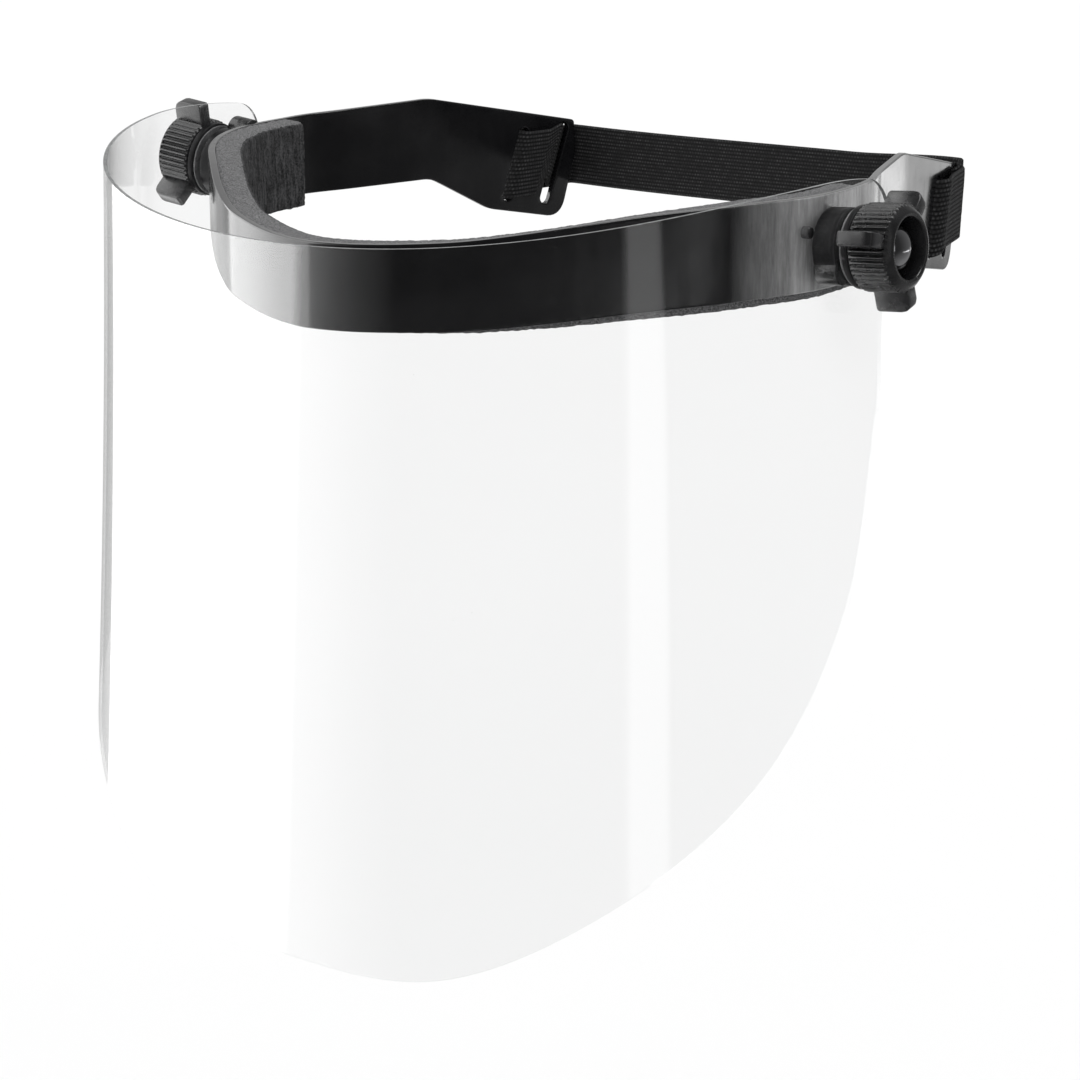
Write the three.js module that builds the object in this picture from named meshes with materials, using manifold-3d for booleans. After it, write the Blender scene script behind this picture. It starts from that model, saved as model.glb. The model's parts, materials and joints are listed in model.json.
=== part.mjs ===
// Face shield: clear visor on two clamp-knob pivots, headband with brow pad and elastic strap.
// Millimetres, +Z up, the wearer faces -Y, +X is the wearer's left.
// The origin is the middle of the visor's hinge axis, inside the head opening.
import * as THREE from 'three';
import { mergeVertices } from 'three/addons/utils/BufferGeometryUtils.js';
import Module from 'manifold-3d';

// ---- driving dimensions ----

const SIDES = [['left', 1], ['right', -1]];

// visor sheet: half-width along the bent sheet, thickness, and its plan curve from front to side
const VISOR_HALF = 198;
const VISOR_THICK = 1.0;
const VISOR_FRONT = [0, -111.7];
const VISOR_FRONT_HANDLE = [82.7, -111.7];
const VISOR_SIDE_HANDLE = [121.9, -54.9];
const VISOR_SIDE_END = [112.6, 15.8];
const VISOR_FLARE_FRONT = -0.0115;
const VISOR_FLARE_SIDE = 0.2415;
const VISOR_FLARE_TOP = 20;
const VISOR_FLARE_EASE = 0.45;
const VISOR_FLARE_DEPTH = 40;
const VISOR_TOP = 7.3;
const VISOR_TOP_RISE = 39.4;
const VISOR_TOP_FALL = -30.14;
const VISOR_CORNER = 9.5;
// lower outline: radius from the middle of the hinge line, every 15 degrees from side to bottom
const VISOR_RADII = [198.5, 184.2, 186.3, 190.9, 194.4, 199.8, 196.7];
const VISOR_COLUMNS = 104;
const VISOR_ROWS = 12;
const VISOR_HOLE_R = 3.2;

// headband strip
const BAND_THICK = 2.2;
const BAND_PLAN = [
  [0, -95], [35, -82], [54, -68], [76, -47], [93, -28], [102.6, -9],
  [105.1, 3], [104, 25], [98, 42], [88.3, 70.8],
];
const TAIL_END = [72.9, 134];
const BAND_STEPS = 60;
const BAND_SIDE_TOP = 13;

// brow pad
const FOAM_THICK = 8;
const FOAM_END_Y = 18;
const FOAM_TOP = 12.8;
const FOAM_FRONT_TOP = 4.3;
const FOAM_END_LOW = -14.2;
const FOAM_FRONT_LOW = -19.3;
const POCKET_R = 7.6;
const POCKET_IN = 96;

// strap
const STRAP_WIDTH = 20;
const STRAP_THICK = 1.1;
const STRAP_MID_Z = -10.8;
const SLOT_W = 4.8;
const SLOT_SLANT = 0.35;
const LEAN_SPAN = [123.5, 131.5];
const FRONT_SLOT_Y = 105;
const REAR_SLOT_Y = 121.8;
const STRAP_BACK_Y = 132;
const SLOT_HIGH = 1.2;
const FRONT_SLOT_LOW = -23.4;
const REAR_SLOT_LOW = -26.2;
const SLOT_MID_Z = -12.5;
const GAP = 0.3;

// clamp stack on each pivot, as distances along the knob axis from the band's mid-plane
const PIVOT_X = 104;
const CANT = THREE.MathUtils.degToRad(5.5);
const BOLT_R = 2.4;
const CLEAR_R = 2.85;
const HEAD_R = 5.2;
const BOLT_END = 21.5;
const HEAD_SPAN = [-6.8, -4.7];
const INNER_WASHER_SPAN = [-4.4, -3.6];
const INNER_WASHER_R = 6.4;
const SPACER_HUB = 2.0;
const SPACER_SPAN = [2.8, 9.8];
const SPACER_R = 10.6;
const SHEET_SPAN = [10.1, 11.1];
const SHEET_FLAT_R = 12;
const SHEET_BLEND_R = 42;
const WASHER_SPAN = [11.4, 12.0];
const WASHER_R = 10.8;
const COLLAR_SPAN = [12.3, 14.0];
const COLLAR_R = 11.4;
const KNOB_SPAN = [14.3, 27.3];
const KNOB_R = 12;
const KNOB_RIM = 25.5;
const NUT_TOP = 26.4;
const KNOB_BORE_R = 8.4;
const KNOB_FLOOR = 19.5;
const KNOB_TEETH = 45;
const WING_R = 18;
const WING_THICK = 4;
const WING_SPAN = [14.4, 25.4];
const WING_TURN = { left: 43, right: 103 };
// visor stop: a peg on the band and a hollow boss on the spacer, as Y and Z from the axis
const PEG_AT = [-9.4, 5.2];
const PEG_R = 1.7;
const PEG_OUT = 105.8;
const BOSS_AT = { left: [-6.3, -5.3], right: [5.8, 9.4] };
const BOSS_R = 4.2;
const BOSS_HOLE_R = 1.7;
const BOSS_SPAN = [2.9, 9.8];

// ---- materials ----

const paint = (color, roughness, metalness = 0, extra = {}) =>
  new THREE.MeshStandardMaterial({ color, roughness, metalness, ...extra });
const CLEAR = paint(0xeef3f5, 0.05, 0, { transparent: true, opacity: 0.3 });
const GLOSS_BLACK = paint(0x101012, 0.18);
const KNOB_BLACK = paint(0x1b1b1d, 0.42);
const FOAM_GREY = paint(0x4a4b4d, 0.95);
const ELASTIC = paint(0x121214, 0.85);
const CHROME = paint(0xd8d8d8, 0.12, 1);
const STEEL = paint(0xa9adb0, 0.3, 1);
const NYLON = paint(0xdadcdc, 0.3);

// ---- solids ----

const wasm = await Module();
wasm.setup();

function toManifold(geometry) {
  const bare = new THREE.BufferGeometry();
  bare.setAttribute('position', geometry.getAttribute('position').clone());
  if (geometry.index) bare.setIndex(geometry.index.clone());
  const merged = mergeVertices(bare, 1e-4);
  return new wasm.Manifold(new wasm.Mesh({
    numProp: 3,
    vertProperties: new Float32Array(merged.getAttribute('position').array),
    triVerts: new Uint32Array(merged.index.array),
  }));
}

function toGeometry(solid) {
  const mesh = solid.getMesh();
  const geometry = new THREE.BufferGeometry();
  geometry.setAttribute('position', new THREE.BufferAttribute(mesh.vertProperties, 3));
  geometry.setIndex(new THREE.BufferAttribute(mesh.triVerts, 1));
  geometry.computeVertexNormals();
  return geometry;
}

const cut = (geometry, ...tools) =>
  tools.reduce((solid, tool) => solid.subtract(toManifold(tool)), toManifold(geometry));

const group = new THREE.Group();

function addPart(name, geometry, material) {
  const mesh = new THREE.Mesh(geometry, material);
  mesh.name = name;
  group.add(mesh);
  return mesh;
}

// moves geometry built along +Z onto a pivot's knob axis
function ontoAxis(geometry, sign) {
  const out = new THREE.Vector3(sign * Math.cos(CANT), 0, Math.sin(CANT));
  const back = new THREE.Vector3(0, 1, 0);
  const up = new THREE.Vector3().crossVectors(out, back);
  const basis = new THREE.Matrix4().makeBasis(back, up, out);
  if (basis.determinant() < 0) throw new Error('left-handed pivot frame');
  basis.setPosition(sign * PIVOT_X, 0, 0);
  return geometry.applyMatrix4(basis);
}

// the polar angle, in the frame of ontoAxis, of a direction given from +Y towards +Z
const axisAngle = (degrees, sign) => THREE.MathUtils.degToRad(degrees) * sign;

function ring(inner, outer, from, to, segments = 40) {
  const profile = [[inner, from], [outer, from], [outer, to], [inner, to], [inner, from]];
  return new THREE.LatheGeometry(profile.map(([r, z]) => new THREE.Vector2(r, z)), segments)
    .rotateX(Math.PI / 2);
}

function rod(radius, from, to, segments = 32) {
  return new THREE.CylinderGeometry(radius, radius, to - from, segments)
    .rotateX(Math.PI / 2).translate(0, 0, (from + to) / 2);
}

function prism(shape, from, to) {
  return new THREE.ExtrudeGeometry(shape, { depth: to - from, bevelEnabled: false, curveSegments: 12 })
    .translate(0, 0, from);
}

function toothedDisc(radius, depth, teeth, from, to) {
  const points = [];
  for (let i = 0; i < teeth * 2; i += 1) {
    const angle = (i * Math.PI) / teeth;
    const r = i % 2 ? radius - depth : radius;
    points.push(new THREE.Vector2(r * Math.cos(angle), r * Math.sin(angle)));
  }
  return prism(new THREE.Shape(points), from, to);
}

// ---- visor ----

const visorCurve = new THREE.CubicBezierCurve(
  ...[VISOR_FRONT, VISOR_FRONT_HANDLE, VISOR_SIDE_HANDLE, VISOR_SIDE_END]
    .map(([x, y]) => new THREE.Vector2(x, y)),
);
const visorLength = visorCurve.getLength();

// point of the sheet's middle surface, offset outwards, at developed distance s and height h
function visorPoint(s, h, offset) {
  const run = Math.abs(s);
  const u = Math.min(run / visorLength, 1);
  const tangent = visorCurve.getTangentAt(u);
  const base = visorCurve.getPointAt(u).addScaledVector(tangent, Math.max(run - visorLength, 0));
  const normal = new THREE.Vector2(tangent.y, -tangent.x);
  const flare = VISOR_FLARE_FRONT + VISOR_FLARE_SIDE * (run / VISOR_HALF) ** 2;
  const drop = VISOR_FLARE_TOP - h;
  const ease = VISOR_FLARE_EASE * VISOR_FLARE_DEPTH * (1 - Math.exp(-drop / VISOR_FLARE_DEPTH));
  base.addScaledVector(normal, flare * (drop - ease) + offset);
  // the clamps press the sheet flat and square to the knob axis
  const mid = (SHEET_SPAN[0] + SHEET_SPAN[1]) / 2 + offset;
  const clampX = PIVOT_X + (mid - h * Math.sin(CANT)) / Math.cos(CANT);
  const free = THREE.MathUtils.smoothstep(Math.hypot(base.y, h), SHEET_FLAT_R, SHEET_BLEND_R);
  if (run > visorLength / 2) base.x = THREE.MathUtils.lerp(clampX, base.x, free);
  return new THREE.Vector3(Math.sign(s || 1) * base.x, base.y, h);
}

const outlineCurve = new THREE.CatmullRomCurve3(
  [...VISOR_RADII, ...VISOR_RADII.slice(0, -1).reverse()].map((r, i) => {
    const angle = (i * Math.PI) / 12;
    return new THREE.Vector3(r * Math.cos(angle), -r * Math.sin(angle), 0);
  }),
);

function visorTop(s) {
  const a = Math.abs(s) / VISOR_HALF;
  const into = Math.max(Math.abs(s) - (VISOR_RADII[0] - VISOR_CORNER), 0);
  const arc = VISOR_CORNER - Math.sqrt(Math.max(VISOR_CORNER ** 2 - into ** 2, 0));
  return VISOR_TOP + VISOR_TOP_RISE * a ** 2 + VISOR_TOP_FALL * a ** 4 - arc;
}

function visorGeometry() {
  const positions = [];
  const faces = [];
  const rows = VISOR_ROWS + 1;
  for (const offset of [VISOR_THICK / 2, -VISOR_THICK / 2]) {
    for (let i = 0; i <= VISOR_COLUMNS; i += 1) {
      // columns crowd towards both ends, where the corner arcs are
      const t = (1 - Math.cos((i * Math.PI) / VISOR_COLUMNS)) / 2;
      const mixed = 0.45 * t + 0.55 * (i / VISOR_COLUMNS);
      const low = outlineCurve.getPoint(mixed);
      const high = visorTop(low.x);
      for (let j = 0; j < rows; j += 1) {
        const h = low.y + ((high - low.y) * j) / VISOR_ROWS;
        positions.push(...visorPoint(low.x, h, offset).toArray());
      }
    }
  }
  const sheet = (VISOR_COLUMNS + 1) * rows;
  const at = (side, i, j) => side * sheet + i * rows + j;
  const quad = (a, b, c, d) => faces.push(a, b, c, a, c, d);
  for (let i = 0; i < VISOR_COLUMNS; i += 1) {
    for (let j = 0; j < VISOR_ROWS; j += 1) {
      quad(at(0, i, j), at(0, i, j + 1), at(0, i + 1, j + 1), at(0, i + 1, j));
      quad(at(1, i, j), at(1, i + 1, j), at(1, i + 1, j + 1), at(1, i, j + 1));
    }
    quad(at(0, i, 0), at(0, i + 1, 0), at(1, i + 1, 0), at(1, i, 0));
    quad(at(0, i, VISOR_ROWS), at(1, i, VISOR_ROWS), at(1, i + 1, VISOR_ROWS), at(0, i + 1, VISOR_ROWS));
  }
  for (let j = 0; j < VISOR_ROWS; j += 1) {
    quad(at(0, 0, j), at(1, 0, j), at(1, 0, j + 1), at(0, 0, j + 1));
    const n = VISOR_COLUMNS;
    quad(at(0, n, j), at(0, n, j + 1), at(1, n, j + 1), at(1, n, j));
  }
  const geometry = new THREE.BufferGeometry();
  geometry.setAttribute('position', new THREE.Float32BufferAttribute(positions, 3));
  geometry.setIndex(faces);
  return geometry;
}

const visorHoles = SIDES.map(([, sign]) => ontoAxis(rod(VISOR_HOLE_R, 8, 14), sign));
addPart('visor', toGeometry(cut(visorGeometry(), ...visorHoles)), CLEAR);

// ---- headband ----

const planCurve = new THREE.CatmullRomCurve3(
  [...BAND_PLAN.slice(1).reverse().map(([x, y]) => [-x, y]), ...BAND_PLAN]
    .map(([x, y]) => new THREE.Vector3(x, y, 0)),
  false, 'centripetal',
);

// plan outline of a strip that lies between two distances inside the band's outer face
function stripOutline(near, far) {
  const stations = [];
  for (let i = 0; i <= BAND_STEPS; i += 1) {
    const u = i / BAND_STEPS;
    const p = planCurve.getPointAt(u);
    const t = planCurve.getTangentAt(u);
    stations.push({ p, n: new THREE.Vector3(-t.y, t.x, 0) });
  }
  const tail = new THREE.Vector3(...TAIL_END, 0).sub(new THREE.Vector3(...BAND_PLAN.at(-1), 0)).normalize();
  const inward = new THREE.Vector3(-tail.y, tail.x, 0);
  const mirrored = (v) => new THREE.Vector3(-v.x, v.y, 0);
  const last = { p: new THREE.Vector3(...TAIL_END, 0), n: inward };
  const first = { p: mirrored(last.p), n: mirrored(inward) };
  stations.push(last);
  stations.unshift(first);
  const shifted = (distance) => ({ p, n }) => new THREE.Vector2(p.x + n.x * distance, p.y + n.y * distance);
  const side = (distance) => stations.map(shifted(distance));
  return new THREE.Shape([...side(near), ...side(far).reverse()]);
}

// side view of the band as a shape in Y and Z, with the slots of the tails left open
function bandProfile() {
  const shape = new THREE.Shape();
  shape.moveTo(-110, 4.5);
  shape.lineTo(-96, 4.5);
  shape.bezierCurveTo(-70, 5.5, -52, BAND_SIDE_TOP, -16, BAND_SIDE_TOP);
  shape.lineTo(18, BAND_SIDE_TOP);
  shape.lineTo(70.9, 14.2);
  shape.lineTo(129.4, 1.4);
  shape.quadraticCurveTo(130.3, 1.2, 130.4, 0.3);
  shape.lineTo(130.9, -9.5);
  shape.lineTo(126.2, -25.6);
  shape.quadraticCurveTo(124.6, -30.6, 119.5, -30.2);
  shape.lineTo(94.6, -24.8);
  shape.lineTo(71, -11.9);
  shape.lineTo(-12, -11.9);
  shape.bezierCurveTo(-48, -11.9, -70, -18.4, -96, -19.2);
  shape.lineTo(-110, -19.2);
  shape.closePath();
  shape.holes.push(slotShape(FRONT_SLOT_Y, FRONT_SLOT_LOW), slotShape(REAR_SLOT_Y, REAR_SLOT_LOW));
  return shape;
}

// slanted slot with rounded ends; middle is its place along the tail at the height of the strap
function slotShape(middle, lowEnd) {
  const path = new THREE.Path();
  const r = SLOT_W / 2;
  const tilt = Math.atan(SLOT_SLANT);
  const end = (z) => [middle + SLOT_SLANT * (z - SLOT_MID_Z), z];
  const top = end(SLOT_HIGH - r);
  const low = end(lowEnd + r);
  path.absarc(...top, r, -tilt, Math.PI - tilt, false);
  path.absarc(...low, r, Math.PI - tilt, 2 * Math.PI - tilt, false);
  return path;
}

// stands a shape drawn in Y and Z across the whole width
function acrossX(shape, halfWidth = 140) {
  const turn = new THREE.Matrix4().makeBasis(
    new THREE.Vector3(0, 1, 0), new THREE.Vector3(0, 0, 1), new THREE.Vector3(1, 0, 0),
  );
  return prism(shape, -halfWidth, halfWidth).applyMatrix4(turn);
}

function alongX(radius, from, to, sign) {
  return rod(radius, from, to).rotateY((sign * Math.PI) / 2);
}

function headband() {
  const strip = toManifold(prism(stripOutline(0, BAND_THICK), -45, 30));
  let band = strip.intersect(toManifold(acrossX(bandProfile())));
  for (const [, sign] of SIDES) {
    band = band.subtract(toManifold(alongX(CLEAR_R + 0.3, PIVOT_X - 5, PIVOT_X + 5, sign)));
  }
  return toGeometry(band);
}
addPart('headband', headband(), GLOSS_BLACK);

// ---- brow pad ----

function browPad() {
  const strip = toManifold(prism(stripOutline(BAND_THICK + GAP, BAND_THICK + GAP + FOAM_THICK), -45, 30));
  const shape = new THREE.Shape();
  shape.moveTo(-110, FOAM_FRONT_TOP);
  shape.lineTo(-96, FOAM_FRONT_TOP);
  shape.bezierCurveTo(-70, FOAM_FRONT_TOP + 1, -52, FOAM_TOP, -16, FOAM_TOP);
  shape.lineTo(FOAM_END_Y - 1, FOAM_TOP);
  shape.lineTo(FOAM_END_Y, FOAM_END_LOW);
  shape.quadraticCurveTo(FOAM_END_Y - 3, FOAM_END_LOW - 3, FOAM_END_Y - 10, FOAM_END_LOW - 0.4);
  shape.lineTo(-12, FOAM_END_LOW);
  shape.bezierCurveTo(-48, FOAM_END_LOW, -70, FOAM_FRONT_LOW + 0.6, -96, FOAM_FRONT_LOW);
  shape.lineTo(-110, FOAM_FRONT_LOW);
  shape.closePath();
  let pad = strip.intersect(toManifold(acrossX(shape)));
  for (const [, sign] of SIDES) {
    pad = pad.subtract(toManifold(alongX(POCKET_R, POCKET_IN, PIVOT_X + 5, sign)));
  }
  return toGeometry(pad);
}
addPart('brow_pad', browPad(), FOAM_GREY);

// ---- strap ----

// centre line of the left half in plan, from the middle of the back to the free end
function strapPath() {
  const end = new THREE.Vector2(...TAIL_END);
  const start = new THREE.Vector2(...BAND_PLAN.at(-1));
  const forward = start.clone().sub(end).normalize();
  const outward = new THREE.Vector2(-forward.y, forward.x).multiplyScalar(forward.y < 0 ? 1 : -1);
  const onTail = (y, out) => {
    const along = (y - end.y) / forward.y;
    return end.clone().addScaledVector(forward, along).addScaledVector(outward, out);
  };
  const outside = GAP + STRAP_THICK / 2;
  const inside = -(BAND_THICK + outside);
  const over = outside + STRAP_THICK + GAP;
  const inSlot = -BAND_THICK / 2;
  return [
    new THREE.Vector2(0, STRAP_BACK_Y),
    new THREE.Vector2(58, STRAP_BACK_Y),
    new THREE.Vector2(70.5, STRAP_BACK_Y + 0.1),
    onTail(131.4, outside + 0.1),
    onTail(128.5, outside),
    onTail(REAR_SLOT_Y + 2.6, outside),
    onTail(REAR_SLOT_Y, inSlot),
    onTail(REAR_SLOT_Y - 2.6, inside),
    onTail(FRONT_SLOT_Y + 2.4, inside),
    onTail(FRONT_SLOT_Y + 0.2, inSlot),
    onTail(FRONT_SLOT_Y - 0.2, outside),
    onTail(FRONT_SLOT_Y + 2.4, over + 0.6),
    onTail(FRONT_SLOT_Y + 8, over),
    onTail(129.5, over),
  ];
}

function strapGeometry() {
  const half = new THREE.SplineCurve(strapPath()).getPoints(78).slice(1);
  const otherHalf = half.map((p) => new THREE.Vector2(-p.x, p.y)).reverse();
  const line = [...otherHalf, new THREE.Vector2(0, STRAP_BACK_Y), ...half];
  const sides = [[], []];
  line.forEach((p, i) => {
    const before = line[Math.max(i - 1, 0)];
    const after = line[Math.min(i + 1, line.length - 1)];
    const t = after.clone().sub(before).normalize();
    const n = new THREE.Vector2(-t.y, t.x).multiplyScalar(STRAP_THICK / 2);
    sides[0].push(p.clone().sub(n));
    sides[1].push(p.clone().add(n));
  });
  const shape = new THREE.Shape([...sides[0], ...sides[1].reverse()]);
  const geometry = prism(shape, STRAP_MID_Z - STRAP_WIDTH / 2, STRAP_MID_Z + STRAP_WIDTH / 2);
  // the strap leans with the slots at the tails and stands upright at the back of the head
  const position = geometry.getAttribute('position');
  for (let i = 0; i < position.count; i += 1) {
    const lean = 1 - THREE.MathUtils.smoothstep(position.getY(i), ...LEAN_SPAN);
    const shift = SLOT_SLANT * lean * (position.getZ(i) - SLOT_MID_Z);
    position.setY(i, position.getY(i) + shift);
    position.setX(i, position.getX(i) - Math.sign(position.getX(i)) * shift * 0.243);
  }
  return geometry;
}
addPart('strap', strapGeometry(), ELASTIC);

// ---- clamp stacks ----

function spacer() {
  let solid = toManifold(rod(SPACER_R, ...SPACER_SPAN, 56));
  solid = solid.add(toManifold(rod(5.5, SPACER_HUB, SPACER_SPAN[0] + 1)));
  solid = solid.subtract(toManifold(rod(CLEAR_R, SPACER_HUB - 1, SPACER_SPAN[1] + 1)));
  return solid;
}

// spacer disc with a notch for the boss, and the hollow boss that sits in it
function bossPlace(side, sign) {
  return [BOSS_AT[side][0], BOSS_AT[side][1] * sign, 0];
}

function notchedSpacer(side, sign) {
  const place = bossPlace(side, sign);
  const notch = rod(BOSS_R + GAP, SPACER_HUB - 1, SPACER_SPAN[1] + 1).translate(...place);
  return toGeometry(spacer().subtract(toManifold(notch)));
}

function boss(side, sign) {
  return ring(BOSS_HOLE_R, BOSS_R, ...BOSS_SPAN, 32).translate(...bossPlace(side, sign));
}

function peg(sign) {
  const from = PIVOT_X - 0.5;
  const solid = toManifold(alongX(PEG_R, from, PEG_OUT, sign).translate(0, ...PEG_AT));
  const strip = toManifold(prism(stripOutline(-GAP, BAND_THICK + 4), -45, 30));
  return toGeometry(solid.subtract(strip));
}

function bolt() {
  const profile = [[0, HEAD_SPAN[0]], [2.6, HEAD_SPAN[0] + 0.1], [4.9, HEAD_SPAN[0] + 0.7]];
  profile.push([HEAD_R, HEAD_SPAN[0] + 1.9], [HEAD_R, HEAD_SPAN[1]], [BOLT_R, HEAD_SPAN[1]]);
  profile.push([BOLT_R, BOLT_END - 0.5], [BOLT_R - 0.5, BOLT_END], [0, BOLT_END]);
  return new THREE.LatheGeometry(profile.map(([r, z]) => new THREE.Vector2(r, z)), 28).rotateX(Math.PI / 2);
}

function nut() {
  const profile = [[0, 22], [CLEAR_R - 0.1, 22], [CLEAR_R - 0.1, KNOB_FLOOR + GAP]];
  profile.push([7.2, KNOB_FLOOR + GAP], [7.2, NUT_TOP - 4.2], [6.9, NUT_TOP - 3.1], [6.1, NUT_TOP - 1.9]);
  profile.push([4.8, NUT_TOP - 0.9], [3.0, NUT_TOP - 0.3], [1.2, NUT_TOP - 0.05], [0, NUT_TOP]);
  return new THREE.LatheGeometry(profile.map(([r, z]) => new THREE.Vector2(r, z)), 32).rotateX(Math.PI / 2);
}

// wing outline in the plane through the knob axis: radius against distance along the axis
function wing(angle) {
  const [from, to] = WING_SPAN;
  const shape = new THREE.Shape();
  shape.moveTo(KNOB_BORE_R + 1.5, from);
  shape.lineTo(WING_R - 0.6, from);
  shape.lineTo(WING_R, from + 0.6);
  shape.lineTo(WING_R, to - 3);
  shape.quadraticCurveTo(WING_R, to, WING_R - 3, to);
  shape.lineTo(KNOB_BORE_R + 1.5, to);
  shape.closePath();
  return prism(shape, -WING_THICK / 2, WING_THICK / 2).rotateX(Math.PI / 2).rotateZ(angle);
}

function knob(side, sign) {
  const toothed = toothedDisc(KNOB_R, 0.7, KNOB_TEETH, KNOB_SPAN[0] + 1, KNOB_RIM - 1.6);
  const turned = [[0, KNOB_SPAN[0]], [KNOB_R - 0.9, KNOB_SPAN[0]], [KNOB_R - 0.9, KNOB_RIM - 2]];
  turned.push([KNOB_R, KNOB_RIM - 1.6], [KNOB_R, KNOB_RIM - 0.5], [KNOB_R - 0.3, KNOB_RIM]);
  turned.push([KNOB_R - 1.3, KNOB_SPAN[1] - 0.7], [KNOB_R - 2.3, KNOB_SPAN[1] - 0.1]);
  turned.push([KNOB_R - 3, KNOB_SPAN[1]], [0, KNOB_SPAN[1]]);
  const points = turned.map(([r, z]) => new THREE.Vector2(r, z));
  const core = new THREE.LatheGeometry(points, 48).rotateX(Math.PI / 2);
  let solid = toManifold(core).add(toManifold(toothed));
  for (let i = 0; i < 3; i += 1) {
    solid = solid.add(toManifold(wing(axisAngle(WING_TURN[side] + 120 * i, sign))));
  }
  solid = solid.subtract(toManifold(rod(KNOB_BORE_R, KNOB_FLOOR, KNOB_SPAN[1] + 1, 40)));
  solid = solid.subtract(toManifold(rod(CLEAR_R, KNOB_SPAN[0] - 1, KNOB_FLOOR + 1)));
  return toGeometry(solid);
}

for (const [side, sign] of SIDES) {
  const place = (name, geometry, material) => addPart(`${name}_${side}`, ontoAxis(geometry, sign), material);
  place('bolt', bolt(), STEEL);
  place('inner_washer', ring(CLEAR_R, INNER_WASHER_R, ...INNER_WASHER_SPAN), STEEL);
  place('spacer', notchedSpacer(side, sign), KNOB_BLACK);
  place('boss', boss(side, sign), KNOB_BLACK);
  place('washer', ring(CLEAR_R, WASHER_R, ...WASHER_SPAN), NYLON);
  place('collar', ring(CLEAR_R, COLLAR_R, ...COLLAR_SPAN, 48), KNOB_BLACK);
  place('knob', knob(side, sign), KNOB_BLACK);
  place('nut', nut(), CHROME);
  addPart(`peg_${side}`, peg(sign), KNOB_BLACK);
}

export default group;
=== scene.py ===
# Looks of the face shield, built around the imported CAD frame. Metres, +Z up, the wearer faces -Y.
import json
import math

import bmesh
import bpy
import numpy as np
from mathutils import Matrix, Vector, noise


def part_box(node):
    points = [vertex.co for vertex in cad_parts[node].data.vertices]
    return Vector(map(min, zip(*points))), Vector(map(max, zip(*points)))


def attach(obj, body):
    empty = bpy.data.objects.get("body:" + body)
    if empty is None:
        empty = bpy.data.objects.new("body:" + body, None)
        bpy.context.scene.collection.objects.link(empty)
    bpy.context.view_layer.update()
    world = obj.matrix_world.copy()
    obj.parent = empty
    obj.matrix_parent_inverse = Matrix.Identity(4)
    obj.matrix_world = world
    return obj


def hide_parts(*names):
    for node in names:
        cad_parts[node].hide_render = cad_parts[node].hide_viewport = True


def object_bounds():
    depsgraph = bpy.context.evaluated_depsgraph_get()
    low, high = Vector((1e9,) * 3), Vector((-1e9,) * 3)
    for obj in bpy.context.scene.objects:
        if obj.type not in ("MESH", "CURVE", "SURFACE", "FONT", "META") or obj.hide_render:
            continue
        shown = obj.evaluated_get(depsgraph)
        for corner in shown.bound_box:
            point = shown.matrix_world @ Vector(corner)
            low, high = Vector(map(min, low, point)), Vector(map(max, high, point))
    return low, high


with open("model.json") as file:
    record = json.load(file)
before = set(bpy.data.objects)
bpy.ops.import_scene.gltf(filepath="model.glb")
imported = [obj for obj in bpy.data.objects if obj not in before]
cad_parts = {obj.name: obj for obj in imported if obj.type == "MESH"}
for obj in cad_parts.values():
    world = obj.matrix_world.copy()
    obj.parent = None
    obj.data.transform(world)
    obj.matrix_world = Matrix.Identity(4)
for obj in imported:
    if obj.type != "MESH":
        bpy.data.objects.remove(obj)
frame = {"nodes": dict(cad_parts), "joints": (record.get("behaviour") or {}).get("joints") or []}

CAD_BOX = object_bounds()
MM = 0.001
SIDES = (("left", 1), ("right", -1))
JOINTS = {j["name"]: j for j in frame["joints"]}

# ---- camera ----

# fitted to the photo; the azimuth is from -Y towards +X
VIEW_AZ = math.radians(36.178)
VIEW_EL = math.radians(16.878)
VIEW_TARGET = Vector((42.603, -46.068, -83.048)) * MM
VIEW_DISTANCE = 851.57 * MM
SENSOR_WIDTH = 36
LENS = 101.83
flat_reach = math.cos(VIEW_EL)
back = Vector((math.sin(VIEW_AZ) * flat_reach, -math.cos(VIEW_AZ) * flat_reach, math.sin(VIEW_EL)))
camera_data = bpy.data.cameras.new("camera")
camera_data.sensor_width = SENSOR_WIDTH
camera_data.lens = LENS
camera_data.clip_start = 0.05
camera_data.clip_end = 60
camera = bpy.data.objects.new("camera", camera_data)
camera.location = VIEW_TARGET + back * VIEW_DISTANCE
camera.rotation_euler = back.to_track_quat("Z", "Y").to_euler()
bpy.context.scene.collection.objects.link(camera)
bpy.context.scene.camera = camera
bpy.context.scene.view_settings.view_transform = "Standard"

# ---- material helpers ----


class NodeTree:
    """A new material and the sums worked out in its nodes; a value is a number or a socket."""

    def __init__(self, name):
        self.material = bpy.data.materials.new(name)
        self.material.use_nodes = True
        self.nodes = self.material.node_tree.nodes
        self.links = self.material.node_tree.links

    def math(self, kind, a, b=None, clamp=False):
        node = self.nodes.new("ShaderNodeMath")
        node.operation = kind
        node.use_clamp = clamp
        for slot, value in enumerate((a, b)):
            if isinstance(value, (int, float)):
                node.inputs[slot].default_value = value
            elif value is not None:
                self.links.new(value, node.inputs[slot])
        return node.outputs["Value"]

    def split(self, vector):
        """The X, Y and Z of a vector."""
        node = self.nodes.new("ShaderNodeSeparateXYZ")
        self.links.new(vector, node.inputs["Vector"])
        return [node.outputs[axis] for axis in "XYZ"]


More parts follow.
